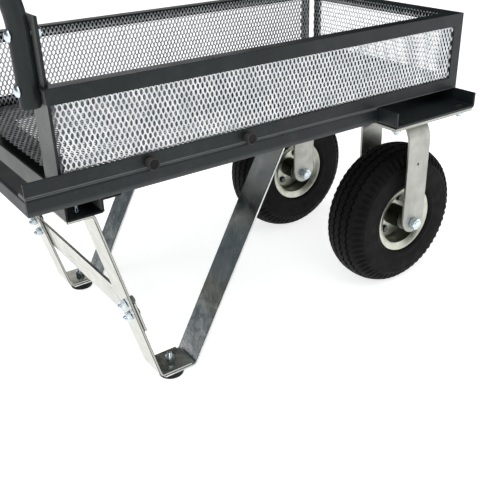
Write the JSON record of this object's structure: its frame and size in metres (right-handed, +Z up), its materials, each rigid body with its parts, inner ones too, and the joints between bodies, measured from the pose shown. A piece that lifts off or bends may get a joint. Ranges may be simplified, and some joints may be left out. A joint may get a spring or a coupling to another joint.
{
  "type": "garden cart",
  "caption": "Garden cart with expanded-metal sides, flat-bar V legs at the handle end and pneumatic wheels in fixed forks.",
  "frame": {"origin": "on the floor, under the middle of the cart's length and width", "axes": "+X from the handle towards the wheels, +Y to the far side, +Z up"},
  "size_m": [0.961, 0.48, 0.922],
  "materials": {
    "frame_paint": "satin charcoal powder coat",
    "leg_zinc": "zinc-plated mill-finish flat bar, softly mottled",
    "caster_zinc": "bright zinc-plated pressed steel",
    "wheel_zinc": "bright zinc-plated stamped wheel steel",
    "fastener_zinc": "blue-white zinc plate",
    "mesh_metal": "galvanised expanded metal",
    "tyre": "matte black moulded tyre",
    "rubber": "matte black moulded rubber",
    "grip_rubber": "matte black ribbed rubber sleeve"
  },
  "bodies": {
    "chassis": {"near_side_rail": "frame_paint", "near_side_frame": "frame_paint", "near_corner_post": "frame_paint", "near_handle_arm": "frame_paint", "near_side_mesh": "mesh_metal", "near_front_strut": "leg_zinc", "near_rear_strut": "leg_zinc", "near_foot_pad": "rubber", "near_foot_stud": "fastener_zinc", "near_foot_nut": "fastener_zinc", "near_strut_bolt": "fastener_zinc", "near_lower_brace_bolt": "fastener_zinc", "near_lower_brace_nut": "fastener_zinc", "near_upper_brace_bolt": "fastener_zinc", "near_upper_brace_nut": "fastener_zinc", "near_axle_bolt": "fastener_zinc", "near_axle_nut": "fastener_zinc", "near_bumper_1": "rubber", "near_bumper_2": "rubber", "near_caster_plate": "caster_zinc", "near_fork": "caster_zinc", "far_side_rail": "frame_paint", "far_side_frame": "frame_paint", "far_corner_post": "frame_paint", "far_handle_arm": "frame_paint", "far_side_mesh": "mesh_metal", "far_front_strut": "leg_zinc", "far_rear_strut": "leg_zinc", "far_foot_pad": "rubber", "far_foot_stud": "fastener_zinc", "far_foot_nut": "fastener_zinc", "far_strut_bolt": "fastener_zinc", "far_lower_brace_bolt": "fastener_zinc", "far_lower_brace_nut": "fastener_zinc", "far_upper_brace_bolt": "fastener_zinc", "far_upper_brace_nut": "fastener_zinc", "far_axle_bolt": "fastener_zinc", "far_axle_nut": "fastener_zinc", "far_bumper_1": "rubber", "far_bumper_2": "rubber", "far_caster_plate": "caster_zinc", "far_fork": "caster_zinc", "leg_end_rail": "frame_paint", "leg_channel": "frame_paint", "strut_cross_member": "frame_paint", "caster_channel": "frame_paint", "wheel_end_frame": "frame_paint", "handle_crossbar": "frame_paint", "leg_brace": "leg_zinc", "floor_mesh": "mesh_metal", "wheel_end_mesh": "mesh_metal", "handle_grip": "grip_rubber"},
    "near_wheel": {"near_tyre": "tyre", "near_rim_outer": "wheel_zinc", "near_rim_inner": "wheel_zinc", "near_hub": "wheel_zinc"},
    "far_wheel": {"far_tyre": "tyre", "far_rim_outer": "wheel_zinc", "far_rim_inner": "wheel_zinc", "far_hub": "wheel_zinc"}
  },
  "joints": [
    {"name": "near_wheel_spin", "type": "hinge", "parent": "chassis", "child": "near_wheel", "pos_m": [0.3505, -0.1518, 0.13], "axis": [0, 1, 0], "continuous": true},
    {"name": "far_wheel_spin", "type": "hinge", "parent": "chassis", "child": "far_wheel", "pos_m": [0.3505, 0.1518, 0.13], "axis": [0, 1, 0], "continuous": true}
  ]
}
